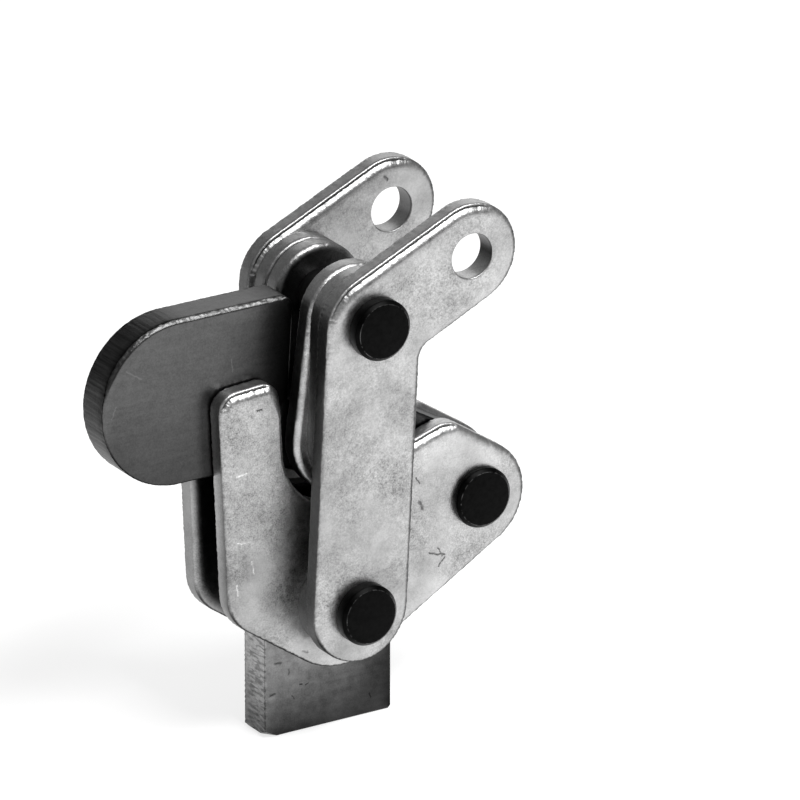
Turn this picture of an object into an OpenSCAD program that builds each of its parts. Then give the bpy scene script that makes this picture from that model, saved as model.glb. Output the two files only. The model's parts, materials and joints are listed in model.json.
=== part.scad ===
// Toggle clamp for welding on: a handle yoke works a thick clamping arm through a pair of toggle links.
// X runs towards the handle sockets, Y across the plates and Z up. The origin is under the stem.
// The linkage stands in its closed, locked position, with its three handle pivots in one line.

/* [Plate stack] */
// Thickness of the body plates, handle plates and inner links
plate_thick = 6; // [4:0.5:7]
// Thickness of the outer links
outer_link_thick = 5; // [3:0.5:7]
// Thickness of the clamping arm
arm_thick = 10; // [8:0.5:12]
// Play on each side of the arm between the body plates
arm_side_play = 0.25; // [0.15:0.05:0.4]
// Play between the toggle links and the handle plates
link_side_play = 0.1; // [0.05:0.05:0.3]

/* [Pivots] */
// Height of the handle pivot above the foot of the stem
handle_pivot_z = 37.4; // [34:0.5:42]
// Distance from the handle pivot to the toggle pivot
handle_lever = 77.4; // [76:0.5:80]
// Distance from the handle pivot to the link pivot
link_pivot_reach = 44.6; // [43:0.5:46]
// Lean of the handle straps from upright, in degrees
handle_lean = 3; // [2:0.5:4]
// Distance of the arm pivot from the handle pivot along X
arm_pivot_x = 42.2; // [40:0.2:44]
// Height of the arm pivot above the handle pivot
arm_pivot_rise = 18.8; // [17:0.2:21]

/* [Pins] */
// Diameter of the shank of every pivot pin
pin_d = 12; // [10:0.5:12.5]
// Diameter of the head at each end of a pin
pin_head_d = 16.3; // [14:0.1:17]
// Height of the heads on the handle plates
handle_head_h = 3.9; // [2:0.1:6]
// Height of the heads on the body plates
body_head_h = 2.4; // [1.6:0.1:4.5]
// Chamfer round the rim of a head
head_chamfer = 0.9; // [0.3:0.1:1.5]
// Radial clearance of a pivot that turns
run_fit = 0.05; // [0.02:0.01:0.09]
// Radial clearance of a piece that is held fast
tight_fit = 0.01; // [0.01:0.005:0.02]

/* [Stem] */
// Width of the stem
stem_width = 38; // [32:1:42]
// Height of the stem
stem_height = 54; // [50:0.5:55]
// Chamfer of the two bottom corners of the stem
stem_corner = 0.8; // [0.5:0.1:4]

/* [Handle plates] */
// Radius of the strap ends
strap_r = 14; // [13:0.25:15]
// Radius of the socket ear
ear_r = 13.75; // [12:0.25:15]
// Reach of the socket ear from the toggle pivot
ear_reach = 31.5; // [29:0.5:34]
// Rise of the socket ear above level, in degrees
ear_rise = 25; // [20:1:30]
// Diameter of the handle hole in the ear
socket_hole_d = 12; // [8:0.5:16]
// Radius in the corner between the ear and the strap
ear_fillet_r = 5; // [2:0.5:8]

/* [Toggle links] */
// Radius of the links round the toggle pivot
link_top_r = 13.2; // [11:0.1:14]
// Radius of the inner links round the link pivot
inner_link_foot_r = 15.9; // [13:0.1:16.5]
// Radius of the outer links round the link pivot
outer_link_foot_r = 12.6; // [10:0.1:14]
// Outer diameter of the sleeve between the inner links
sleeve_d = 13.6; // [13.4:0.1:13.8]

/* [Body plates] */
// Radius of the rounded foot of the body
body_foot_r = 19.5; // [17.5:0.1:20.5]
// Offset of the foot's centre from the handle pivot along X
body_foot_offset = 1.3; // [0:0.1:2]
// Radius of the rounded nose of the body
body_nose_r = 15; // [14:0.1:16]
// Setback of the nose's centre behind the arm pivot
body_nose_back = 1.2; // [0:0.1:2]
// Drop of the nose's centre below the arm pivot
body_nose_drop = 0.4; // [0:0.1:1.5]
// Distance from the handle pivot to the outer edge of the post, at the top
post_reach = 35.3; // [34:0.1:37]
// Width of the post at the top
post_width = 17.9; // [15:0.1:18.2]
// Height of the post above the foot of the stem
post_top = 100.4; // [95:0.2:104]
// Slope of the top of the post, down to its outer corner, in degrees
post_top_slope = 4; // [0:0.5:8]
// Distance from the handle pivot to the outer edge of the body, at the heel
heel_reach = 33; // [31:0.5:35]
// Height of the heel's corner above the handle pivot
heel_rise = 6.8; // [4:0.2:12]
// Setback of the brow behind the arm pivot
brow_back = 10.1; // [7:0.1:12]
// Rise of the brow above the arm pivot
brow_rise = 13.9; // [11:0.1:15]
// Slope of the edge from the brow down to the throat, in degrees
brow_slope = 18; // [10:1:24]
// Radius of the throat that clears the toggle links
throat_r = 19.2; // [17.5:0.1:20]
// Outer diameter of the spacer washers on the handle pivot
washer_d = 25.6; // [20:0.2:28]

/* [Clamping arm] */
// Height of the pad of the arm
pad_height = 44.7; // [38:0.1:46]
// Distance from the handle pivot to the tip of the pad
pad_reach = 66.3; // [60:0.1:72]
// Distance from the handle pivot to the inner edge of the pad
pad_inner = 10.1; // [9.5:0.1:12]
// Height of the bottom of the pad above the foot of the stem
pad_bottom = 76.1; // [74:0.1:80]
// Step from the inner edge of the pad to its heel
pad_step = 2.1; // [0:0.1:5]
// Radius of the arm round the link pivot
arm_eye_r = 11.5; // [10:0.1:12]
// Radius of the arm round the arm pivot
arm_tail_r = 13.4; // [12:0.1:13.6]
// Wall of the hardened bushes in the arm
bush_wall = 2; // [1:0.25:2.5]

/* [Hidden] */

$fn = 96;
// Inset of a point where an edge meets an arc
seam = 0.002;
// Length that a cut runs past a face
overcut = 1;

// Colours of the finishes
zinc = [0.74, 0.74, 0.73];
mill_steel = [0.50, 0.50, 0.49];
black_oxide = [0.09, 0.09, 0.10];
ground_steel = [0.62, 0.62, 0.61];

// Faces of the stack, measured from the middle plane
slot_half = arm_thick / 2 + arm_side_play;
stem_thick = 2 * slot_half;
body_face = slot_half + plate_thick;
outer_link_face = body_face + outer_link_thick;
handle_inner = outer_link_face + link_side_play;
handle_face = handle_inner + plate_thick;
washer_thick = handle_inner - body_face;

// Pivots as X and Z
lean_dir = [sin(handle_lean), cos(handle_lean)];
handle_pivot = [0, handle_pivot_z];
toggle_pivot = handle_pivot + handle_lever * lean_dir;
link_pivot = handle_pivot + link_pivot_reach * lean_dir;
arm_pivot = handle_pivot + [arm_pivot_x, arm_pivot_rise];
socket = toggle_pivot + ear_reach * [cos(ear_rise), sin(ear_rise)];

// Radii of the pins and bores
pin_r = pin_d / 2;
turning_bore_r = pin_r + run_fit;
fixed_bore_r = pin_r + tight_fit;
bush_r = turning_bore_r + bush_wall;

// Corner circles of the body plates, each as X, Z and radius
heel_r = 13;
heel = [heel_r - heel_reach, handle_pivot_z + heel_rise, heel_r];
post_outer_r = 5.5;
post_inner_r = 5;
post_drop = (post_width - post_outer_r - post_inner_r) * tan(post_top_slope);
post_inner = [post_width - post_reach - post_inner_r, post_top - post_inner_r, post_inner_r];
post_outer = [post_outer_r - post_reach, post_top - post_outer_r - post_drop, post_outer_r];
brow_r = 8;
brow = [arm_pivot[0] - brow_back, arm_pivot[1] + brow_rise, brow_r];
throat_floor = [link_pivot[0], brow[1] - (brow[0] - link_pivot[0]) * tan(brow_slope), brow_r];
body_foot = [handle_pivot[0] + body_foot_offset, handle_pivot[1], body_foot_r];
body_nose = [arm_pivot[0] - body_nose_back, arm_pivot[1] - body_nose_drop, body_nose_r];

// Throat between the post and the brow, hollow and so with its radius below zero
throat = [link_pivot[0], link_pivot[1], -throat_r];

// Corner circles of the clamping arm
pad_r = pad_height / 2;
pad_tip = [pad_r - pad_reach, pad_bottom + pad_r, pad_r];
pad_corner_r = 3.5;
pad_corner = [-pad_inner - pad_corner_r, pad_bottom + pad_height - pad_corner_r, pad_corner_r];
pad_heel_r = 8;
pad_heel = [-pad_inner - pad_step - pad_heel_r, pad_bottom + pad_heel_r, pad_heel_r];
arm_eye = [link_pivot[0], link_pivot[1], arm_eye_r];
arm_tail = [arm_pivot[0], arm_pivot[1], arm_tail_r];

// Centre of a corner circle
function middle(c) = [c[0], c[1]];

// Unit vector square to the right-hand tangent from circle a to circle b
function tangent_normal(a, b) =
    let (d = middle(b) - middle(a), len = norm(d), turn = asin((a[2] - b[2]) / len), dir = atan2(d[1], d[0]))
    [cos(dir - 90 + turn), sin(dir - 90 + turn)];

// Point where that tangent meets circle c, a hair inside it so that the edge and the arc share no sliver
function touch(c, n) = middle(c) + (c[2] - seam) * n;

// Two circles joined by their outer tangents
module band(a, b) {
    right = tangent_normal(a, b);
    left = tangent_normal(b, a);
    translate(middle(a)) circle(a[2]);
    translate(middle(b)) circle(b[2]);
    polygon([middle(a), touch(a, right), touch(b, right), middle(b), touch(b, left), touch(a, left)]);
}

// Closed outline that runs round a ring of corner circles
module ring_outline(corners) {
    count = len(corners);
    for (i = [0 : count - 1]) band(corners[i], corners[(i + 1) % count]);
    polygon([for (c = corners) middle(c)]);
}

// Web of radius r in the corner where two straight edges meet, at p along the unit vectors u and v
module corner_web(p, u, v, r) {
    half = acos(u * v) / 2;
    reach = r / tan(half);
    bisector = (u + v) / norm(u + v);
    difference() {
        polygon([p - r / 3 * bisector, p + reach * u, p + reach * v]);
        translate(p + r / sin(half) * bisector) circle(r + 2 * seam);
    }
}

// Stands an outline of X and Z up and gives it a thickness, from y_start towards +Y
module stand(y_start, thick) {
    translate([0, y_start + thick, 0]) rotate([90, 0, 0]) linear_extrude(thick) children();
}

// Plate on one side of the middle plane: side is -1 for the near side and 1 for the far side
module side_plate(side, inner, thick) {
    stand(side < 0 ? -inner - thick : inner, thick) children();
}

// Round bar or bore along Y at a pivot
module across(pivot, r, y_start, y_end) {
    translate([pivot[0], y_start, pivot[1]]) rotate([-90, 0, 0]) cylinder(h = y_end - y_start, r = r);
}

// Bore through everything at a pivot
module bore(pivot, r) {
    across(pivot, r, -handle_face - overcut, handle_face + overcut);
}

// Pin with a chamfered head at each end, for a stack that reaches out to the given face
module headed_pin(pivot, face, head_h) {
    head_r = pin_head_d / 2;
    end = face + head_h;
    translate([pivot[0], 0, pivot[1]]) rotate([-90, 0, 0]) rotate_extrude()
        polygon([[0, -end], [head_r - head_chamfer, -end], [head_r, -end + head_chamfer], [head_r, -face],
            [pin_r, -face], [pin_r, face], [head_r, face], [head_r, end - head_chamfer],
            [head_r - head_chamfer, end], [0, end]]);
}

// Sleeve, washer or bush round a pivot
module collar(pivot, outer_r, inner_r, y_start, y_end) {
    difference() {
        across(pivot, outer_r, y_start, y_end);
        across(pivot, inner_r, y_start - overcut, y_end + overcut);
    }
}

// Runs from the post round the heel, foot and nose to the throat, which the post's inner edge meets
module body_outline() {
    chain = [post_inner, post_outer, heel, body_foot, body_nose, brow, throat_floor];
    inner_side = tangent_normal(throat, post_inner);
    inner_edge = [touch(throat, inner_side), touch(post_inner, inner_side)];
    difference() {
        union() {
            for (i = [0 : len(chain) - 2]) band(chain[i], chain[i + 1]);
            polygon(concat(inner_edge, [for (c = chain) middle(c)]));
        }
        translate(link_pivot) circle(throat_r);
    }
}

module body_plate(side) {
    color(zinc) difference() {
        side_plate(side, slot_half, plate_thick) body_outline();
        bore(handle_pivot, fixed_bore_r);
        bore(arm_pivot, fixed_bore_r);
    }
}

module base_stem() {
    color(mill_steel) difference() {
        stand(-slot_half, stem_thick) polygon([[-stem_width / 2, stem_corner],
            [-stem_width / 2 + stem_corner, 0], [stem_width / 2 - stem_corner, 0],
            [stem_width / 2, stem_corner], [stem_width / 2, stem_height], [-stem_width / 2, stem_height]]);
        bore(handle_pivot, fixed_bore_r);
    }
}

module handle_pivot_pin() {
    color(black_oxide) headed_pin(handle_pivot, handle_face, handle_head_h);
}

module arm_pivot_pin() {
    color(black_oxide) headed_pin(arm_pivot, body_face, body_head_h);
}

module spacer_washer(side) {
    inner = side < 0 ? -handle_inner : body_face;
    color(zinc) collar(handle_pivot, washer_d / 2, fixed_bore_r, inner, inner + washer_thick);
}

module handle_outline() {
    strap_foot = [handle_pivot[0], handle_pivot[1], strap_r];
    strap_head = [toggle_pivot[0], toggle_pivot[1], strap_r];
    ear = [socket[0], socket[1], ear_r];
    band(strap_foot, strap_head);
    band(strap_head, ear);
    strap_side = tangent_normal(strap_foot, strap_head);
    ear_side = tangent_normal(strap_head, ear);
    down = -lean_dir;
    along = [-ear_side[1], ear_side[0]];
    a = toggle_pivot + strap_r * strap_side;
    b = toggle_pivot + strap_r * ear_side;
    slide = ((b - a) * ear_side) / (down * ear_side);
    corner_web(a + slide * down, down, along, ear_fillet_r);
}

module handle_plate(side) {
    color(zinc) difference() {
        side_plate(side, handle_inner, plate_thick) handle_outline();
        bore(handle_pivot, turning_bore_r);
        bore(toggle_pivot, fixed_bore_r);
        bore(socket, socket_hole_d / 2);
    }
}

module toggle_pin() {
    color(black_oxide) headed_pin(toggle_pivot, handle_face, handle_head_h);
}

module link(side, inner, thick, foot_r) {
    color(zinc) difference() {
        side_plate(side, inner, thick)
            band([toggle_pivot[0], toggle_pivot[1], link_top_r], [link_pivot[0], link_pivot[1], foot_r]);
        bore(toggle_pivot, turning_bore_r);
        bore(link_pivot, fixed_bore_r);
    }
}

module inner_link(side) {
    link(side, slot_half, plate_thick, inner_link_foot_r);
}

module outer_link(side) {
    link(side, body_face, outer_link_thick, outer_link_foot_r);
}

module toggle_sleeve() {
    color(ground_steel) collar(toggle_pivot, sleeve_d / 2, turning_bore_r, -slot_half, slot_half);
}

module link_pin(side) {
    start = side < 0 ? -outer_link_face : slot_half;
    color(black_oxide) across(link_pivot, pin_r, start, start + outer_link_face - slot_half);
}

module clamping_arm() {
    color(mill_steel) difference() {
        stand(-arm_thick / 2, arm_thick) {
            ring_outline([pad_tip, pad_heel, pad_corner]);
            band(pad_heel, arm_eye);
            band(arm_eye, arm_tail);
        }
        bore(link_pivot, bush_r + tight_fit);
        bore(arm_pivot, bush_r + tight_fit);
    }
}

module arm_pivot_bush() {
    color(ground_steel) collar(arm_pivot, bush_r, turning_bore_r, -arm_thick / 2, arm_thick / 2);
}

module arm_link_bush() {
    color(ground_steel) collar(link_pivot, bush_r, turning_bore_r, -arm_thick / 2, arm_thick / 2);
}

module link_pin_centre() {
    color(black_oxide) across(link_pivot, pin_r, -arm_thick / 2, arm_thick / 2);
}

base_stem();
body_plate(-1);  // body_plate_near
body_plate(1);  // body_plate_far
handle_pivot_pin();
arm_pivot_pin();
spacer_washer(-1);  // spacer_washer_near
spacer_washer(1);  // spacer_washer_far
handle_plate(-1);  // handle_plate_near
handle_plate(1);  // handle_plate_far
toggle_pin();
inner_link(-1);  // inner_link_near
inner_link(1);  // inner_link_far
outer_link(-1);  // outer_link_near
outer_link(1);  // outer_link_far
toggle_sleeve();
link_pin(-1);  // link_pin_near
link_pin(1);  // link_pin_far
clamping_arm();
arm_pivot_bush();
arm_link_bush();
link_pin_centre();
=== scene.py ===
import json
import math
from itertools import accumulate

import bmesh
import bpy
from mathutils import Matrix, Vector, geometry, noise


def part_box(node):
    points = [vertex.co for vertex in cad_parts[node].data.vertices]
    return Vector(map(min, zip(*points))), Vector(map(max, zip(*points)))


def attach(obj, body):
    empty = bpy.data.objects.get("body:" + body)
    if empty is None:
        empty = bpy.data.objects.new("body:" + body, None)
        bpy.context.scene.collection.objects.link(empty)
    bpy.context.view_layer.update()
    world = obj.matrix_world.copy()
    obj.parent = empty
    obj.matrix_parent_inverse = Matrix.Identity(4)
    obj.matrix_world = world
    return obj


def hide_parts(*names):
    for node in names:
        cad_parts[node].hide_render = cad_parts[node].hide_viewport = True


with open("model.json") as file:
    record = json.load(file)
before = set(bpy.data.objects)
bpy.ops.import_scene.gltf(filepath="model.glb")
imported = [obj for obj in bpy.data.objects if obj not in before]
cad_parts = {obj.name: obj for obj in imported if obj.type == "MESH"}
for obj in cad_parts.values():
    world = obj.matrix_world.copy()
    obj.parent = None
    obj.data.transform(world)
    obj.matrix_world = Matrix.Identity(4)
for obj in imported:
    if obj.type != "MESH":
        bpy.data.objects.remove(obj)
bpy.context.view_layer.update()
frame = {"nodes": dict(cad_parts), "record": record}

MM = 0.001
scene = bpy.context.scene

# Camera: a long lens, at the photograph's azimuth and elevation
VIEW_AZIMUTH = math.radians(31.95)
VIEW_ELEVATION = math.radians(22.11)
CAMERA_PLACE = Vector((-1480.8, -2414.4, 1238.6)) * MM
IMAGE_PX = 800
FOCAL_PX = 12000
SENSOR_MM = 36
CLIP_END = 20

# Softboxes round the object's middle: direction, distance, width and height in metres, and power in watts
MIDDLE = Vector((0, 0, 0.07))
SOFTBOXES = {
    "key": ((0.17, -0.51, 0.81), 1.6, (1.1, 0.32), 22),
    "back": ((0.49, 0.786, 0.42), 2.0, (1.4, 1.2), 5),
}
WORLD_STRENGTH = 0.25
FLOOR_SIZE = 30
FLOOR_DROP = 0.05 * MM
# The floor that is seen is part grey, which takes the shadow, and part glow. What lights the object is plain.
FLOOR_SEEN_GREY = 0.5
FLOOR_GLOW = 0.75
FLOOR_PLAIN_GREY = 0.75

# Edge profiles from the face to the rim: rows of inset from the outline, depth below the face, and painted
# crease shade, which paints shade into the creases of the edges and along some edges.
# The support is the width of the flat band between a profile and the triangles of the face.
# Lengths are in millimetres, and the painted shade goes from 0 to 1.
SUPPORT = 0.25
PUNCHED = [(3.4, 0, 0), (2.7, 0.06, 0), (2.2, 0.18, 0), (1.8, 0.37, 0), (1.45, 0.63, 0), (1.12, 0.93, 0),
           (0.97, 1.12, 0.4), (0.84, 1.20, 1), (0.62, 1.22, 0.9), (0.36, 1.28, 0), (0.12, 1.45, 0),
           (0, 1.75, 0.1)]
SMOOTH = [(3.2, 0, 0), (2.6, 0.05, 0), (2.0, 0.15, 0), (1.5, 0.28, 0), (1.1, 0.42, 0), (0.82, 0.56, 0),
          (0.60, 0.70, 0), (0.42, 0.84, 0), (0.28, 0.97, 0), (0.15, 1.12, 0), (0.06, 1.26, 0), (0, 1.5, 0)]
TIGHT = [(0.90, 0, 0), (0.75, 0.02, 0), (0.60, 0.05, 0), (0.48, 0.09, 0), (0.37, 0.15, 0), (0.27, 0.22, 0),
         (0.19, 0.30, 0), (0.12, 0.39, 0), (0.07, 0.49, 0), (0.03, 0.60, 0.5), (0.01, 0.75, 1), (0, 0.95, 1)]
EASED = [(1.9, 0, 0), (1.5, 0.08, 0), (1.1, 0.22, 0), (0.75, 0.42, 0), (0.45, 0.65, 0), (0.2, 0.95, 0),
         (0.05, 1.2, 0), (0, 1.5, 0)]
ROUNDED = [(0.9, 0, 0), (0.58, 0.06, 0), (0.32, 0.19, 0), (0.13, 0.40, 0), (0.03, 0.66, 0), (0, 0.9, 0)]
SAWN = [(0.45, 0, 0), (0.20, 0.07, 0.1), (0.05, 0.22, 0.5), (0, 0.45, 0.6), (0, 0.8, 0)]
CUT = [(1.3, 0, 0), (1.05, 0.05, 0.3), (0.88, 0.15, 0.6), (0.70, 0.32, 0), (0.54, 0.49, 0), (0.38, 0.66, 0),
       (0.24, 0.83, 0), (0.12, 1.0, 0), (0.03, 1.15, 0.5), (0, 1.35, 0.2)]
SHARP = [(0.50, 0, 0), (0.36, 0.03, 0), (0.25, 0.07, 0), (0.16, 0.12, 0), (0.10, 0.18, 0), (0.05, 0.25, 0.3),
         (0.02, 0.33, 0.7), (0, 0.42, 0.7), (0, 0.6, 0.3), (0, 0.8, 0)]
HOLE = [(0.35, 0, 0), (0.14, 0.06, 0), (0.03, 0.18, 0), (0, 0.35, 0.2)]

# Small marks on the faces, each from one point to another in millimetres, with its width
ZINC_DENTS = [
    ((-34.7, -11.0, 74.4), (-33.5, -11.0, 71.9), 0.55),
    ((23.9, -11.3, 58.5), (24.8, -11.3, 56.7), 0.75),
    ((27.0, -11.3, 43.7), (31.5, -11.3, 42.4), 0.45),
    ((31.5, -11.3, 41.6), (29.4, -11.3, 39.5), 0.4),
    ((29.4, -11.3, 44.6), (30.6, -11.3, 42.1), 0.35),
    ((22.7, -11.3, 65.5), (23.9, -11.3, 63.8), 0.3),
    ((17.3, -22.4, 89.2), (17.6, -22.4, 87.8), 0.7),
    ((30.6, 16.3, 137.5), (31.2, 16.3, 136.6), 0.7),
    ((-31.8, -11.3, 51.6), (-31.5, -11.3, 48.2), 0.3),
    ((-24.4, -11.3, 94.1), (-23.2, -11.3, 94.1), 0.45),
    ((-11.3, -11.3, 24.8), (-9.8, -11.3, 24.4), 0.6),
    ((0.6, -22.4, 131.5), (1.8, -22.4, 130.4), 0.35),
]
ZINC_SCRATCHES = [
    ((-30.7, -11.3, 77.4), (-28.0, -11.3, 77.7), 0.55),
    ((-32.6, -11.3, 60.3), (-32.6, -11.3, 58.9), 0.6),
    ((-32.3, -11.3, 53.3), (-32.0, -11.3, 51.9), 0.6),
    ((-26.4, -11.3, 53.1), (-25.8, -11.3, 49.7), 0.4),
    ((-30.9, -11.3, 47.5), (-30.6, -11.3, 44.7), 0.45),
    ((-30.5, -11.3, 59.0), (-27.3, -11.3, 58.5), 0.3),
]
STEEL_DENTS = [
    ((-16.0, -5.3, 20.3), (-14.2, -5.3, 20.2), 0.6),
    ((-11.9, -5.3, 18.0), (-11.9, -5.3, 16.6), 0.35),
    ((-8.6, -5.3, 13.0), (-8.0, -5.3, 12.9), 0.5),
    ((-6.8, -5.3, 12.6), (-6.2, -5.3, 12.8), 0.45),
    ((-17.6, -5.3, 11.8), (-16.1, -5.3, 12.0), 0.55),
    ((12.5, -5.3, 5.7), (12.8, -5.3, 4.5), 0.4),
    ((-11.0, -5.3, 10.5), (-10.4, -5.3, 9.5), 0.35),
]
STEEL_SCRATCHES = [
    ((-17.6, -5.3, 10.9), (-16.4, -5.3, 10.9), 0.8),
    ((-59.4, -5.1, 110.1), (-54.7, -5.1, 106.9), 0.4),
    ((-55.1, -5.1, 123.8), (-53.4, -5.1, 121.8), 0.35),
    ((-28.3, -5.1, 106.7), (-28.0, -5.1, 103.4), 0.35),
    ((-63.6, -5.1, 98.0), (-62.4, -5.1, 101.0), 0.35),
]

# Outlines of the plates: which corners of the solid's mesh are one, which edges lie on the face and border
# the rim, which are dropped as too short, and which are chords of an arc
OUTLINE_WELD = 3e-6
ON_FACE = 1e-6
RIM_NORMAL_Y = 0.5
SHORTEST_EDGE = 0.1 * MM
LONGEST_CHORD = 3 * MM
LARGEST_CHORD_TURN = 0.2

# Lofting of the plates: distance between the rim's rows in millimetres, limit of the offset at a sharp corner,
# corners that fold and how far they reach, and the output type of the triangulation
RIM_STEP = 0.5
LEAST_MITER = 0.3
FOLD_TURN = math.radians(20)
FOLD_REACH = 5 * MM
TRIANGLES_WITHOUT_HOLES = 2
TRIANGLE_EPSILON = 1e-6
LOFT_WELD = 1e-7
LOFT_SHARP = math.radians(50)

# Turned pieces: width of their rounded edges, and which edges are flat, rounded and sharp
TURNED_WELD = 1e-6
PIN_EDGE = 0.15 * MM
PIN_EDGE_SEGMENTS = 3
FLAT_TURN = math.radians(0.5)
ROUNDED_TURN = math.radians(35)
TURNED_SHARP = math.radians(28)

# Throat of the body plates, with its tight edges: middle and half width along X, lower and upper end, and
# the widths over which the tight edges fade out, all in millimetres
THROAT_X, THROAT_HALF = -5, 20
THROAT_LOW, THROAT_HIGH = 45, 97
THROAT_FADE_X, THROAT_FADE_Z = 2, 6


def add_camera():
    """Camera that looks along the photograph's line of sight."""
    data = bpy.data.cameras.new("camera")
    data.sensor_width = SENSOR_MM
    data.lens = SENSOR_MM * FOCAL_PX / IMAGE_PX
    data.clip_end = CLIP_END
    camera = bpy.data.objects.new("camera", data)
    scene.collection.objects.link(camera)
    forward = Vector((
        math.sin(VIEW_AZIMUTH) * math.cos(VIEW_ELEVATION),
        math.cos(VIEW_AZIMUTH) * math.cos(VIEW_ELEVATION),
        -math.sin(VIEW_ELEVATION),
    ))
    camera.location = CAMERA_PLACE
    camera.rotation_euler = forward.to_track_quat("-Z", "Y").to_euler()
    scene.camera = camera


def add_softbox(name, direction, distance, size, power):
    """Area light that faces the object's middle from a direction. Its size is its width and height."""
    data = bpy.data.lights.new(name, "AREA")
    data.shape = "RECTANGLE"
    data.size, data.size_y = size
    data.energy = power
    light = bpy.data.objects.new(name, data)
    scene.collection.objects.link(light)
    light.location = MIDDLE + distance * Vector(direction).normalized()
    light.rotation_euler = (MIDDLE - light.location).to_track_quat("-Z", "Y").to_euler()


class Nodes:
    """Short calls for building a node material."""

    def __init__(self, name):
        self.material = bpy.data.materials.new(name)
        self.material.use_nodes = True
        self.tree = self.material.node_tree
        self.tree.nodes.clear()
        self.output = self.add("ShaderNodeOutputMaterial")
        self.place = self.add("ShaderNodeTexCoord").outputs["Object"]

    def add(self, kind, **values):
        node = self.tree.nodes.new(kind)
        for key, value in values.items():
            setattr(node, key, value)
        return node

    def put(self, socket, value):
        if hasattr(value, "is_output"):
            self.tree.links.new(value, socket)
        else:
            socket.default_value = value

    def math(self, operation, a, b=0.0, c=0.0, clamp=False):
        node = self.add("ShaderNodeMath", operation=operation, use_clamp=clamp)
        for socket, value in zip(node.inputs, (a, b, c)):
            self.put(socket, value)
        return node.outputs[0]

    def chain(self, operation, values):
        result = values[0]
        for value in values[1:]:
            result = self.math(operation, result, value)
        return result

    def total(self, *values):
        return self.chain("ADD", values)

    def product(self, *values):
        return self.chain("MULTIPLY", values)

    def scaled(self, factors):
        node = self.add("ShaderNodeVectorMath", operation="MULTIPLY")
        self.put(node.inputs[0], self.place)
        node.inputs[1].default_value = factors
        return node.outputs[0]

    def noise(self, scale, detail=3.0, rough=0.55, stretch=None, warp=0.0):
        node = self.add("ShaderNodeTexNoise")
        self.put(node.inputs["Vector"], self.scaled(stretch) if stretch else self.place)
        node.inputs["Scale"].default_value = scale
        node.inputs["Detail"].default_value = detail
        node.inputs["Roughness"].default_value = rough
        node.inputs["Distortion"].default_value = warp
        return node.outputs["Fac"]

    def spread(self, value, low, high, to_low=0.0, to_high=1.0):
        node = self.add("ShaderNodeMapRange")
        self.put(node.inputs["Value"], value)
        for key, number in (("From Min", low), ("From Max", high), ("To Min", to_low), ("To Max", to_high)):
            self.put(node.inputs[key], number)
        return node.outputs["Result"]

    def mix(self, factor, a, b):
        """a where the factor is 0 and b where it is 1."""
        return self.math("ADD", a, self.math("MULTIPLY", factor, self.math("SUBTRACT", b, a)))

    def grey(self, value):
        node = self.add("ShaderNodeCombineColor")
        for socket in node.inputs:
            self.put(socket, value)
        return node.outputs[0]

    def bump(self, height, distance, strength):
        node = self.add("ShaderNodeBump")
        self.put(node.inputs["Height"], height)
        node.inputs["Distance"].default_value = distance
        node.inputs["Strength"].default_value = strength
        return node.outputs["Normal"]

    def axes(self, output):
        split = self.add("ShaderNodeSeparateXYZ")
        self.put(split.inputs[0], output)
        return split.outputs

    def facing(self):
        """Components of the normal along X, Y and Z."""
        return self.axes(self.add("ShaderNodeTexCoord").outputs["Normal"])

    def flank(self):
        """1 on the faces of a plate that look along Y, and 0 on its rim."""
        return self.spread(self.math("ABSOLUTE", self.facing()["Y"]), 0.35, 0.8)

    def crease_shade(self):
        """Painted shade that the edge profiles leave in the creases and along the edges, from 0 to 1."""
        return self.add("ShaderNodeAttribute", attribute_name="crease_shade").outputs["Fac"]

    def vector(self, operation, a, b):
        node = self.add("ShaderNodeVectorMath", operation=operation)
        for socket, value in zip(node.inputs, (a, b)):
            self.put(socket, value)
        return node

    def ragged_place(self):
        """The place, shifted a little along X and Z by fine noise."""
        wobble = self.add("ShaderNodeTexNoise")
        self.put(wobble.inputs["Vector"], self.place)
        wobble.inputs["Scale"].default_value = 1200
        centred = self.vector("SUBTRACT", wobble.outputs["Color"], (0.5, 0.5, 0.5)).outputs[0]
        shift = self.vector("MULTIPLY", centred, (0.9 * MM, 0, 0.9 * MM)).outputs[0]
        return self.vector("ADD", self.place, shift).outputs[0]

    def marks(self, lines):
        """1 on short lines between points given in millimetres, with ragged sides."""
        place = self.ragged_place()
        result = 0.0
        for start, end, width in lines:
            start, end = Vector(start) * MM, Vector(end) * MM
            span = end - start
            from_start = self.vector("SUBTRACT", place, start).outputs[0]
            share = self.vector("DOT_PRODUCT", from_start, span / span.length_squared).outputs["Value"]
            share = self.math("ADD", share, 0, clamp=True)
            foot = self.add("ShaderNodeVectorMath", operation="SCALE")
            self.put(foot.inputs[0], span)
            self.put(foot.inputs["Scale"], share)
            away = self.vector("DISTANCE", from_start, foot.outputs[0]).outputs["Value"]
            mark = self.spread(away, 0.1 * width * MM, 0.75 * width * MM, 1, 0)
            result = self.math("MAXIMUM", result, mark)
        return result

    def metal(self, colour, roughness, normal):
        shader = self.add("ShaderNodeBsdfPrincipled")
        self.put(shader.inputs["Base Color"], colour)
        self.put(shader.inputs["Roughness"], roughness)
        shader.inputs["Metallic"].default_value = 1.0
        self.put(shader.inputs["Normal"], normal)
        self.tree.links.new(shader.outputs[0], self.output.inputs["Surface"])
        return self.material


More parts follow.
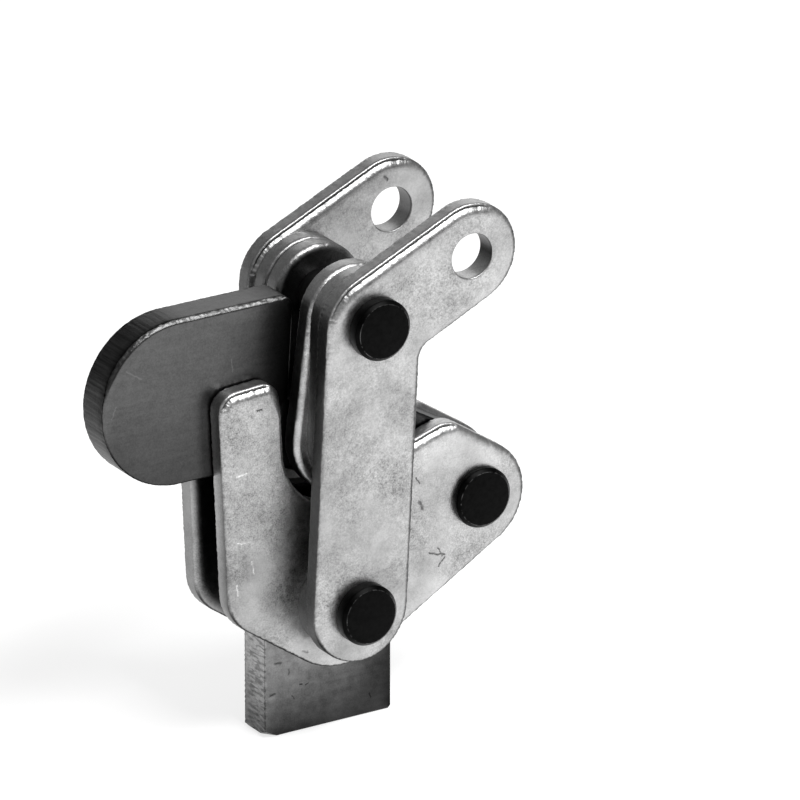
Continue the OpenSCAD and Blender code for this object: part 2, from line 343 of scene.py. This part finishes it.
def zinc_plate(name, side_level, body):
    """Dull zinc plating on punched plate: speckled faces and darker sheared rims, with painted light and shade.

    The side level is the tone of the rims that face down or aside; its lower value paints shade on the rims of
    the pieces that are not body plates. Rims that face up are painted lighter, and shade is painted on the
    faces between the plates. The body plates get painted light and shade of their own: side rims darker next to
    the near face and lighter towards the back, dark rims in the throat, and faces lighter to the right, towards
    the top and low down. The other plates are painted lighter to the right and darker on the far side.
    """
    n = Nodes(name)
    place, normal, flank = n.axes(n.place), n.facing(), n.flank()
    cloud = n.noise(110, 3, 0.55)
    fleck = n.noise(620, 3, 0.65, warp=0.6)
    grain = n.noise(2300, 2, 0.7)
    worn = n.spread(n.noise(45, 2, 0.5), 0.38, 0.62, 0.4, 1.3)
    tone = n.total(
        n.spread(cloud, 0.3, 0.7, -0.10, 0.10),
        n.product(worn, n.spread(fleck, 0.3, 0.7, -0.08, 0.08)),
        n.product(worn, n.spread(grain, 0.3, 0.7, -0.11, 0.11)),
    )

    face_level = 0.42
    face = n.total(tone, face_level)
    # Painted light: rims that face up are lighter than those that face down or aside
    rim_level = n.spread(normal["Z"], 0.1, 0.95, side_level, 0.45)
    rim = n.product(n.total(n.product(tone, 1.4), 1), rim_level)
    if body:
        # Painted light and shade on the body's side rims: darker next to the near face, lighter towards the
        # back,
        across = n.spread(place["Y"], -10.2 * MM, -6 * MM, 0.55, 1.75)
        # and the far plate's rims a little darker than the back of the near plate's
        far_plate_shade = n.spread(place["Y"], 0, MM, 1, 0.7)
        rim = n.product(rim, n.mix(n.spread(normal["Z"], 0.1, 0.6), n.product(across, far_plate_shade), 1))
        # Painted shade: the rims in the throat, under the arm, darker
        from_throat = n.math("ABSOLUTE", n.total(place["X"], 2.5 * MM))
        rim = n.product(rim, n.spread(from_throat, 15 * MM, 17.5 * MM, 0.15, 1))

    dents, scratches = n.marks(ZINC_DENTS), n.marks(ZINC_SCRATCHES)
    value = n.product(
        n.mix(flank, rim, face),
        # painted shade in the creases and along the edges of the profiles
        n.spread(n.crease_shade(), 0, 1, 1, 0.12),
        n.spread(dents, 0, 1, 1, 0.35),
    )
    value = n.mix(n.product(scratches, n.spread(fleck, 0.3, 0.6)), value, 1.0)
    # Painted light: the body plates lighter to the right, towards the top and low down; the other plates
    # lighter
    if body:
        # to the right, and darker on the far side than on the near side
        value = n.product(
            value,
            n.spread(place["X"], -25 * MM, 35 * MM, 0.9, 1.2),
            n.spread(place["Z"], 60 * MM, 90 * MM, 0.97, 1.25),
            n.spread(place["Z"], 28 * MM, 42 * MM, 1.15, 1),
        )
    else:
        value = n.product(
            value,
            n.spread(place["X"], 0, 35 * MM, 1.0, 1.1),
            n.spread(place["Y"], -5 * MM, 5 * MM, 1.05, 0.88),
        )
    # Painted shade on the faces between the plates
    shade_between_plates = n.spread(n.math("ABSOLUTE", place["Y"]), 5.3 * MM, 6.3 * MM, 0.12, 1)
    value = n.product(value, shade_between_plates)
    rough = n.mix(flank, 0.40, n.spread(fleck, 0.3, 0.7, 0.30, 0.40))
    height = n.total(n.product(fleck, 0.8), n.product(grain, 0.5), n.product(dents, -2.5))
    return n.metal(n.grey(value), rough, n.bump(height, 0.0001, 0.7))


def mill_steel():
    """Bare flat bar: fine rolling streaks on the faces, and dark scale where the arm's round end was cut.

    Light and shade are painted too: the stem darker towards its foot, the arm's face darker towards its right
    end, and the cut end lighter where it faces down and darker next to the near face. The arm's face is also a
    little lighter upwards.
    """
    n = Nodes("mill_steel")
    place, normal, flank = n.axes(n.place), n.facing(), n.flank()
    grain = n.noise(2300, 2, 0.7)
    cloud = n.noise(90, 3, 0.5)
    streaks = n.noise(900, 2, 0.6, stretch=(0.12, 1, 1))
    arm = n.spread(place["Z"], 45 * MM, 55 * MM)
    mottle = n.spread(n.total(cloud, n.noise(420, 3, 0.6)), 0.7, 1.3, -0.3, 0.3)
    tone = n.total(
        n.spread(grain, 0.3, 0.7, -0.15, 0.15),
        n.product(mottle, n.mix(arm, 1, 0.4)),
        n.spread(streaks, 0.3, 0.7, -0.08, 0.08),
    )

    saw_marks = n.spread(n.noise(1100, 2, 0.6, stretch=(0.1, 0.25, 1)), 0.42, 0.54, 0.55, 1.1)
    sawn_end = n.product(n.spread(normal["X"], -0.3, -0.8), n.spread(place["Y"], 2 * MM, 4 * MM, 1, 0.3))
    # Painted shade: the stem darker towards its foot
    stem_level = n.product(
        n.spread(place["Z"], 0, 20 * MM, 0.055, 0.22),
        n.spread(normal["X"], -0.3, -0.8, 1, 1.6),
        n.mix(sawn_end, 1, saw_marks),
    )
    # Painted shade: the arm's face darker towards its right end, where the links shade it; also a little
    # lighter upwards
    arm_level = n.product(
        n.spread(place["Z"], 78 * MM, 102 * MM, 0.09, 0.11),
        n.spread(place["X"], -21 * MM, -11 * MM, 1, 0.45),
    )
    value = n.product(n.mix(arm, stem_level, arm_level), n.total(tone, 1))

    drag_lines = n.spread(n.noise(1100, 3, 0.6, stretch=(1, 0.06, 1)), 0.35, 0.65, 0.012, 0.055)
    # Painted light: the cut end lighter where it faces down
    scale = n.total(drag_lines, n.spread(normal["Z"], -0.2, -0.8, 0, 0.06))
    # Painted shade: the cut end darker next to the near face
    scale = n.product(scale, n.spread(place["Y"], -4.7 * MM, -1.5 * MM, 0.15, 1))
    cut_end = n.product(n.spread(place["X"], -40 * MM, -46 * MM), n.math("SUBTRACT", 1, flank))
    dents, scratches = n.marks(STEEL_DENTS), n.marks(STEEL_SCRATCHES)
    value = n.product(
        n.mix(cut_end, value, scale),
        # painted shade in the creases and along the edges of the profiles
        n.spread(n.crease_shade(), 0, 1, 1, 0.15),
        n.spread(dents, 0, 1, 1, 0.35),
    )
    value = n.mix(n.product(scratches, 0.1), value, 0.7)
    rough = n.mix(flank, 0.42, n.spread(cloud, 0.3, 0.7, 0.29, 0.35))
    height = n.total(grain, n.product(streaks, 0.5), n.product(dents, -3))
    return n.metal(n.grey(value), rough, n.bump(height, 0.00006, 0.5))


def black_oxide():
    """Matte black finish of the pins, worn to a thin bright ring on the rounded edges of their heads.

    Their sides are painted darker than their end faces: painted shade.
    """
    n = Nodes("black_oxide")
    grain = n.noise(900, 3, 0.6)
    across = n.math("ABSOLUTE", n.facing()["Y"])
    # Painted shade: the sides darker than the end faces
    value = n.product(n.spread(grain, 0.3, 0.7, 0.004, 0.007), n.spread(across, 0.3, 0.9, 0.4, 1))
    worn = n.product(n.spread(across, 0.75, 0.85), n.spread(across, 0.995, 0.975))
    value = n.mix(n.product(worn, n.spread(grain, 0.42, 0.62)), value, 0.09)
    return n.metal(n.grey(value), n.spread(grain, 0.3, 0.7, 0.34, 0.44), n.bump(grain, 0.00004, 0.5))


def ground_steel():
    """Ground surface of sleeves and bushes, painted very dark: painted shade where they sit between the plates.
    """
    n = Nodes("ground_steel")
    lines = n.noise(400, 2, 0.5, stretch=(1, 12, 1))
    # Painted shade: a very dark value for a ground surface
    value = n.spread(lines, 0.3, 0.7, 0.09, 0.16)
    return n.metal(n.grey(value), 0.32, n.bump(lines, 0.00003, 0.5))


def outlines(node):
    """Outlines of a plate's face as closed lists of X and Z, the outer one first.

    Each has the plate on its left.
    """
    work = bmesh.new()
    work.from_mesh(frame["nodes"][node].data)
    bmesh.ops.remove_doubles(work, verts=work.verts, dist=OUTLINE_WELD)
    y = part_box(node)[0].y
    near = {}
    for edge in work.edges:
        on_face = all(abs(v.co.y - y) < ON_FACE for v in edge.verts)
        if on_face and min(abs(f.normal.y) for f in edge.link_faces) < RIM_NORMAL_Y:
            a, b = edge.verts
            near.setdefault(a.index, []).append(b.index)
            near.setdefault(b.index, []).append(a.index)
    work.verts.ensure_lookup_table()
    loops = []
    while near:
        start = next(iter(near))
        loop, here = [start], near[start][0]
        while here != start:
            loop.append(here)
            here = next(i for i in near[here] if i != loop[-2])
        for i in loop:
            del near[i]
        loops.append([Vector((work.verts[i].co.x, work.verts[i].co.z)) for i in loop])
    work.free()
    loops.sort(key=lambda loop: -abs(area(loop)))
    return [loop if (area(loop) > 0) == (k == 0) else loop[::-1] for k, loop in enumerate(loops)]


def area(loop):
    """Area inside a loop, above 0 where the loop runs to the left."""
    return sum(a.x * b.y - b.x * a.y for a, b in zip(loop, loop[1:] + loop[:1])) / 2


def turn(a, b, c):
    """Angle by which the path a, b, c turns to the left."""
    u, v = b - a, c - b
    return math.atan2(u.x * v.y - u.y * v.x, u.dot(v))


def resampled(loop, step):
    """The outline with points no further apart than a step, on the arcs that its short edges stand for."""
    loop = [p for i, p in enumerate(loop) if (p - loop[i - 1]).length > SHORTEST_EDGE]
    count = len(loop)
    turns = [turn(loop[i - 1], loop[i], loop[(i + 1) % count]) for i in range(count)]
    result = []
    for i in range(count):
        a, b = loop[i], loop[(i + 1) % count]
        chord = (b - a).length
        parts = max(1, math.ceil(chord / step))
        bend = (turns[i] + turns[(i + 1) % count]) / 2
        on_arc = chord < LONGEST_CHORD and abs(bend) < LARGEST_CHORD_TURN
        bulge = chord * math.tan(bend / 4) / 2 if on_arc else 0
        outward = Vector((b.y - a.y, a.x - b.x)).normalized()
        for k in range(parts):
            t = k / parts
            result.append(a.lerp(b, t) + outward * (4 * bulge * t * (1 - t)))
    return result


def miters(loop):
    """Offsets of an outline's points that move it by one unit towards the plate."""
    result = []
    for i, here in enumerate(loop):
        u = (here - loop[i - 1]).normalized()
        v = (loop[(i + 1) % len(loop)] - here).normalized()
        left = Vector((-u.y - v.y, u.x + v.x))
        result.append(left / max(LEAST_MITER, 1 + u.dot(v)))
    return result


def folds(points):
    """For points beside a sharp outer corner: the corner, and the inset at which they would fold over."""
    result, count = {}, len(points)
    for corner in range(count):
        bend = turn(points[corner - 1], points[corner], points[(corner + 1) % count])
        if bend < FOLD_TURN:
            continue
        for side in (-1, 1):
            i, away = corner, 0
            while away < FOLD_REACH:
                away += (points[(i + side) % count] - points[i]).length
                i = (i + side) % count
                result[i] = (corner, away / math.tan(bend / 2) / MM)
    return result


def edge_of(row, inward, point, front, other, body):
    """Inset, depth and painted crease shade of a row of the near face's outer edge, by the way the edge faces.

    Edges that face up have the front profile, and the rest the other one, with a line of painted shade at the
    foot of its curve where they face down or right. The body's throat has tight edges.
    """
    if not other or row >= len(other):
        return front[row]
    inset, depth, painted_shade = other[row]
    upper = ramp(-inward.y, 0.2, 0.5) * ramp(inward.x, -0.5, -0.2)
    reach = 0.6 + 0.9 * ramp(-inward.x, 0.2, 0.8)
    # Painted shade: a dark line along the edges that face down or right, wider on those that face right
    line = ramp(max(inward.y, -inward.x), 0.1, 0.5) * ramp(-inset, -reach, -reach / 2)
    line *= 1 - 0.7 * ramp(-inward.y, 0.3, 0.8)
    rest = Vector((inset, depth, max(line, painted_shade)))
    if body:
        beside = ramp(THROAT_HALF - abs(point.x - THROAT_X), 0, THROAT_FADE_X)
        throat = beside * ramp(min(point.y - THROAT_LOW, THROAT_HIGH - point.y), 0, THROAT_FADE_Z)
        rest = rest.lerp(Vector(TIGHT[row]), throat)
        upper *= 1 - throat
    return rest.lerp(Vector(front[row]), upper)


def loft_rows(front, rear, thick):
    """Rows of inset, depth and painted crease shade from the near face to the far one, with a support row at
    each end.
    """
    start, end = front[-1][1], thick - rear[-1][1]
    steps = max(2, round((end - start) / RIM_STEP))
    rows = front[:1] + front
    rows += [(0, start + (end - start) * i / steps, 0) for i in range(1, steps)]
    rows += [(inset, thick - depth, painted_shade) for inset, depth, painted_shade in reversed(rear)]
    rows += [(rear[0][0] + SUPPORT, thick, 0)]
    return rows


def add_cap(work, rings):
    """Fills a face of the plate between its rings with flat triangles, and leaves the holes open."""
    flat = [v for ring in rings for v in ring]
    order = iter(range(len(flat)))
    loops = [[next(order) for _ in ring] for ring in rings]
    places = [Vector((v.co.x, v.co.z)) / MM for v in flat]
    found = geometry.delaunay_2d_cdt(places, [], loops, TRIANGLES_WITHOUT_HOLES, TRIANGLE_EPSILON)
    triangles, sources = found[2], found[3]
    for triangle in triangles:
        work.faces.new([flat[sources[i][0]] for i in triangle])


def chip_off(work, place, normal):
    """Cuts off what lies past a plane through a place in millimetres, and closes the cut."""
    everything = work.verts[:] + work.edges[:] + work.faces[:]
    cut = bmesh.ops.bisect_plane(work, geom=everything, plane_co=Vector(place) * MM, plane_no=normal,
                                 clear_outer=True)
    rim = [e for e in cut["geom_cut"] if isinstance(e, bmesh.types.BMEdge)]
    bmesh.ops.contextual_create(work, geom=rim)


def lofted_plate(node, material, front, other, rear, step, relief, chips):
    """Stands in for a plate node: its outline, with an edge profile on both faces and a rim of real relief.

    The front profile is that of the near face's upper edges, the other one that of the rest of its outer
    edges, and the rear one that of the far face. The step is the distance between an outline's points, in mm.
    """
    low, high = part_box(node)
    thick = (high.y - low.y) / MM
    work = bmesh.new()
    # Painted shade of the creases and edges, kept on each point
    crease_shade = work.verts.layers.float.new("crease_shade")
    near_cap, far_cap = [], []
    for k, loop in enumerate(outlines(node)):
        outer = k == 0
        points = resampled(loop, step * MM)
        inward = miters(points)
        folded = folds(points)
        lengths = [(point - points[i - 1]).length / MM for i, point in enumerate(points)]
        along = list(accumulate(lengths[1:], initial=0))
        near_edge, far_edge = (front, rear) if outer else (HOLE, HOLE)
        rows = loft_rows(near_edge, far_edge, thick)

        def spot(row, i):
            """Inset, place and painted crease shade of one point of a ring. The rows count from -1, the near
            support row.
            """
            inset, depth, painted_shade = rows[row + 1]
            point = points[i] / MM
            if outer and row < len(near_edge):
                inset, depth, painted_shade = edge_of(max(0, row), inward[i], point, near_edge, other, "body" in node)
            inset += SUPPORT if row < 0 else 0
            if outer and 0 < depth < thick:
                inset = max(0, inset + relief(along[i], min(depth, thick - depth), point))
            place = points[i] + inward[i] * inset * MM
            return inset, (place.x, low.y + depth * MM, place.y), painted_shade

        rings = []
        for row in range(-1, len(rows) - 1):
            ring = []
            for i in range(len(points)):
                inset, place, painted_shade = spot(row, i)
                corner, limit = folded.get(i, (i, math.inf))
                if inset > limit:
                    _, place, painted_shade = spot(row, corner)
                ring.append(work.verts.new(place))
                ring[-1][crease_shade] = painted_shade
            rings.append(ring)
        for a, b in zip(rings, rings[1:]):
            for i in range(len(points)):
                work.faces.new((a[i - 1], b[i - 1], b[i], a[i])).smooth = True
        near_cap.append(rings[0])
        far_cap.append(rings[-1])
    add_cap(work, near_cap)
    add_cap(work, far_cap)
    bmesh.ops.remove_doubles(work, verts=work.verts, dist=LOFT_WELD)
    bmesh.ops.recalc_face_normals(work, faces=work.faces)
    for place, normal in chips:
        chip_off(work, place, normal)
    mesh = bpy.data.meshes.new(node + "_finish")
    work.to_mesh(mesh)
    work.free()
    mesh.set_sharp_from_angle(angle=LOFT_SHARP)
    stand_in(node, mesh, material)


def rounded_copy(node, material):
    """Stands in for a turned node with the same solid, its sharp edges rounded and its arcs shaded smooth."""
    mesh = frame["nodes"][node].data.copy()
    mesh.name = node + "_finish"
    work = bmesh.new()
    work.from_mesh(mesh)
    bmesh.ops.remove_doubles(work, verts=work.verts, dist=TURNED_WELD)
    bmesh.ops.dissolve_limit(work, angle_limit=FLAT_TURN, verts=work.verts, edges=work.edges)
    sharp = [e for e in work.edges if len(e.link_faces) == 2 and e.calc_face_angle() > ROUNDED_TURN]
    bmesh.ops.bevel(work, geom=sharp, offset=PIN_EDGE, offset_type="OFFSET", segments=PIN_EDGE_SEGMENTS,
                    profile=0.5, affect="EDGES", clamp_overlap=True, loop_slide=False)
    work.to_mesh(mesh)
    work.free()
    for polygon in mesh.polygons:
        polygon.use_smooth = True
    mesh.set_sharp_from_angle(angle=TURNED_SHARP)
    stand_in(node, mesh, material)


def stand_in(node, mesh, material):
    """Puts a mesh in the place of a node, on the node's body and with its material slot."""
    mesh.materials.clear()
    mesh.materials.append(material)
    piece = bpy.data.objects.new(node + "_finish", mesh)
    scene.collection.objects.link(piece)
    body = next(b for b, members in frame["record"]["behaviour"]["bodies"].items() if node in members)
    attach(piece, body)
    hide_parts(node)


def ramp(value, low, high):
    """0 up to the low value, 1 from the high value on, and straight between them."""
    return min(1, max(0, (value - low) / (high - low)))


def at_edge(depth):
    """1 near the edges of a rim, and 0 on the face and half-way between the edges."""
    return ramp(depth, 0.05, 0.5) * ramp(-depth, -1.7, -1.1)


def rumble(along, depth, scale, seed):
    """Smooth noise on a rim, at a scale per millimetre."""
    return noise.noise(Vector((along * scale, depth * scale, seed)))


def sheared(along, depth, point):
    """Relief of a punched rim.

    Each relief gets the way along the outline, the depth from the nearer face and the place on the outline, and
    gives an inset, all in millimetres. This one does not use the place.
    """
    wave = noise.noise(Vector((along * 0.5, depth * 0.3, 0)))
    tear = rumble(along, depth, 1.4, 7) + 0.5 * rumble(along, depth, 2.6, 3)
    return 0.06 + 0.05 * wave + (0.03 + 0.13 * at_edge(depth)) * tear


def battered(along, depth, point):
    """Relief of the body's rims, which are knocked about more."""
    return sheared(along, depth, point) + 0.15 * at_edge(depth) * rumble(along, depth, 0.9, 11)


def torch_cut(along, depth, point):
    """Drag lines of a cut rim, which fade out on the bar's own straight edges, and the burr on its edges."""
    cut = ramp(-point.x, 40, 46)
    lines = noise.noise(Vector((along * 1.3 + depth * 0.06, depth * 0.08, 3)))
    burr = noise.noise(Vector((along * 0.8, depth * 1.2, 5))) + rumble(along, depth, 1.9, 9)
    return 0.02 + cut * 0.07 * lines + (0.02 + 0.10 * at_edge(depth)) * burr


def sawn(along, depth, point):
    """Saw marks across the stem's left end, in patches."""
    patches = ramp(noise.noise(Vector((point.y * 0.15, depth * 0.3, 4))), -0.25, 0.1)
    end = ramp(-point.x, 18, 19) * patches
    drift = 2 * noise.noise(Vector((0, point.y * 0.3, 1)))
    return 0.1 + end * 0.1 * math.sin(4.4 * (point.y - 0.2 * depth) + drift)


def add_floor():
    """Plain white floor that keeps the object's shadow."""
    bpy.ops.mesh.primitive_plane_add(size=FLOOR_SIZE, location=(0, 0, -FLOOR_DROP))
    floor = bpy.context.object
    floor.name = "floor"
    n = Nodes("floor_white")
    diffuse = n.add("ShaderNodeBsdfDiffuse")
    diffuse.inputs["Color"].default_value = (FLOOR_SEEN_GREY, FLOOR_SEEN_GREY, FLOOR_SEEN_GREY, 1)
    glow = n.add("ShaderNodeEmission")
    glow.inputs["Strength"].default_value = FLOOR_GLOW
    both = n.add("ShaderNodeAddShader")
    n.put(both.inputs[0], diffuse.outputs[0])
    n.put(both.inputs[1], glow.outputs[0])
    plain = n.add("ShaderNodeBsdfDiffuse")
    plain.inputs["Color"].default_value = (FLOOR_PLAIN_GREY, FLOOR_PLAIN_GREY, FLOOR_PLAIN_GREY, 1)
    path = n.add("ShaderNodeLightPath")
    seen = n.math("MAXIMUM", path.outputs["Is Camera Ray"], path.outputs["Is Glossy Ray"])
    seen = n.math("MAXIMUM", seen, path.outputs["Is Transmission Ray"])
    mix = n.add("ShaderNodeMixShader")
    n.put(mix.inputs[0], seen)
    n.put(mix.inputs[1], plain.outputs[0])
    n.put(mix.inputs[2], both.outputs[0])
    n.put(n.output.inputs["Surface"], mix.outputs[0])
    floor.data.materials.append(n.material)


def add_world():
    """Even grey surroundings."""
    world = bpy.data.worlds.new("studio")
    world.use_nodes = True
    scene.world = world
    background = world.node_tree.nodes["Background"]
    background.inputs["Color"].default_value = (1, 1, 1, 1)
    background.inputs["Strength"].default_value = WORLD_STRENGTH


FINISHES = {
    "zinc_plate": zinc_plate("zinc_plate", 0.24, True),
    "mill_steel": mill_steel(),
    "black_oxide": black_oxide(),
    "ground_steel": ground_steel(),
}
# Rims at half the tone for the pieces that are not body plates: painted shade on the rims in the stack
SHADED_RIMS = zinc_plate("zinc_plate_shaded_rim", 0.12, False)

# Front, other and rear profile of each plate node, its step and its rim's relief
PLATES = {
    "handle_plate_near": (PUNCHED, SMOOTH, ROUNDED, 0.4, sheared),
    "handle_plate_far": (PUNCHED, SMOOTH, ROUNDED, 0.4, sheared),
    "body_plate_near": (PUNCHED, SMOOTH, ROUNDED, 0.4, battered),
    "body_plate_far": (SMOOTH, SMOOTH, ROUNDED, 0.4, sheared),
    "inner_link_near": (EASED, None, EASED, 0.5, sheared),
    "inner_link_far": (EASED, None, EASED, 0.5, sheared),
    "outer_link_near": (ROUNDED, None, ROUNDED, 0.5, sheared),
    "outer_link_far": (ROUNDED, None, ROUNDED, 0.5, sheared),
    "clamping_arm": (CUT, SHARP, SHARP, 0.35, torch_cut),
    "base_stem": (SAWN, SAWN, SAWN, 0.3, sawn),
}
# Corners knocked off: a place on the cut in millimetres, and the direction in which the metal is gone
CHIPS = {"base_stem": [((-15, -5.25, 0), (-0.25, -0.2, -0.5))]}

add_camera()
add_world()
add_floor()
for name, softbox in SOFTBOXES.items():
    add_softbox(name, *softbox)

for row in frame["record"]["subparts"]:
    node, slot = row["node"], row["material_slot"]
    # painted shade on the rims of the pieces that are not body plates
    shaded_rims = slot == "zinc_plate" and not node.startswith("body")
    material = SHADED_RIMS if shaded_rims else FINISHES[slot]
    if node in PLATES:
        lofted_plate(node, material, *PLATES[node], CHIPS.get(node, ()))
    else:
        rounded_copy(node, material)

scene.view_settings.view_transform = "Standard"
